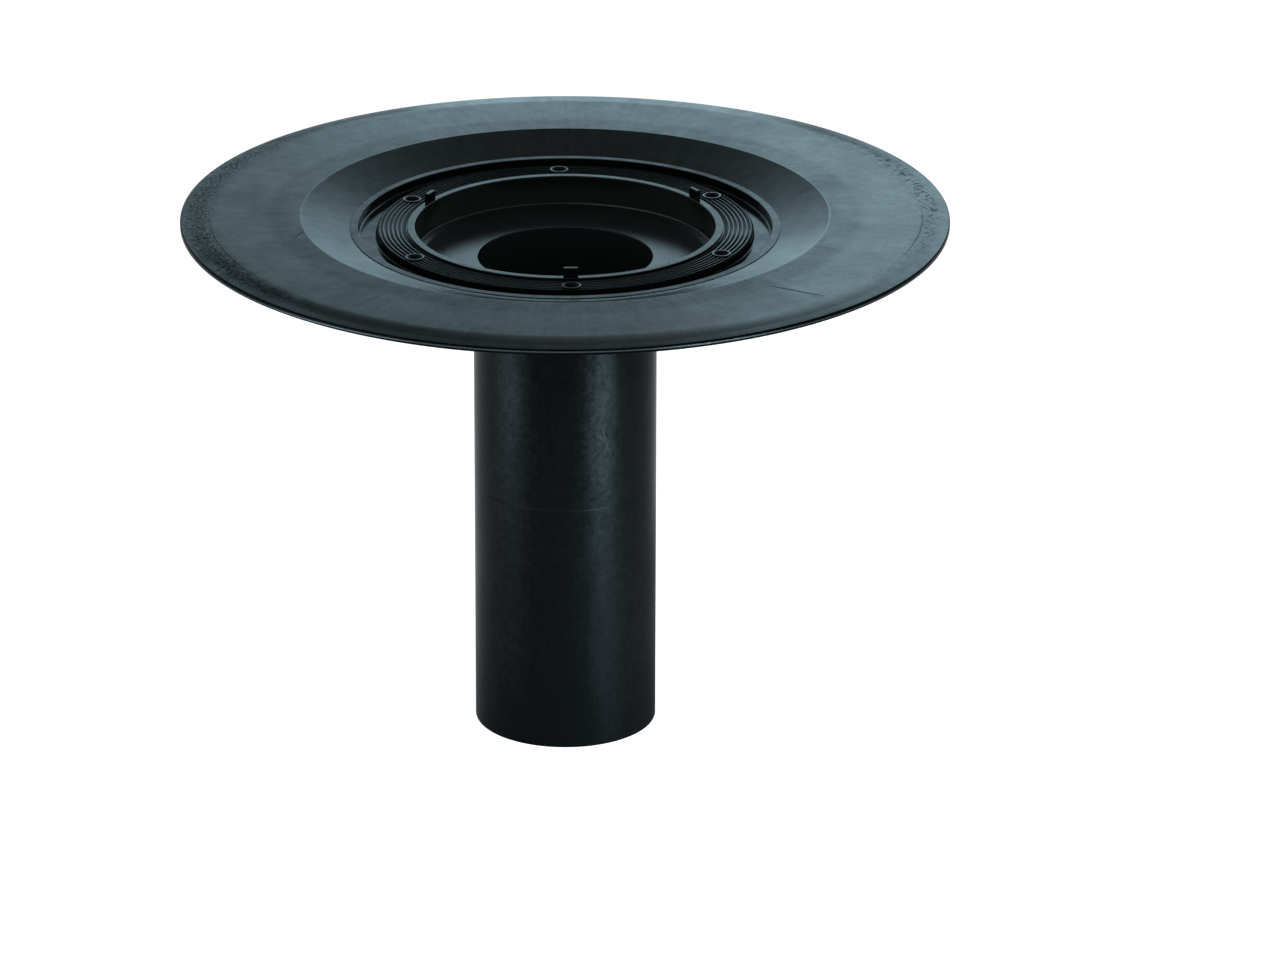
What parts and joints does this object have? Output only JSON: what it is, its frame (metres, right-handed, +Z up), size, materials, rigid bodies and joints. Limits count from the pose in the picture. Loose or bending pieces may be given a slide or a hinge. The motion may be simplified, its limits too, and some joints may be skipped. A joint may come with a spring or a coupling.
{
  "type": "balcony drain body",
  "caption": "Black moulded balcony drain body: wide round flange, dished cone, ridged clamping ring with screw bushes, basin and a long plain vertical outlet pipe.",
  "frame": {"origin": "centre of the outlet pipe's lower end", "axes": "+Z up along the pipe's axis, out of the drain's mouth; one bush and one lug stand on the -Y side"},
  "size_m": [0.313, 0.313, 0.2212],
  "materials": {
    "black_plastic": "satin moulded black polypropylene, lightly scuffed",
    "bush_metal": "plain turned stainless steel"
  },
  "bodies": {
    "root": {"drain_body": "black_plastic", "threaded_bushes": "bush_metal"}
  },
  "joints": []
}
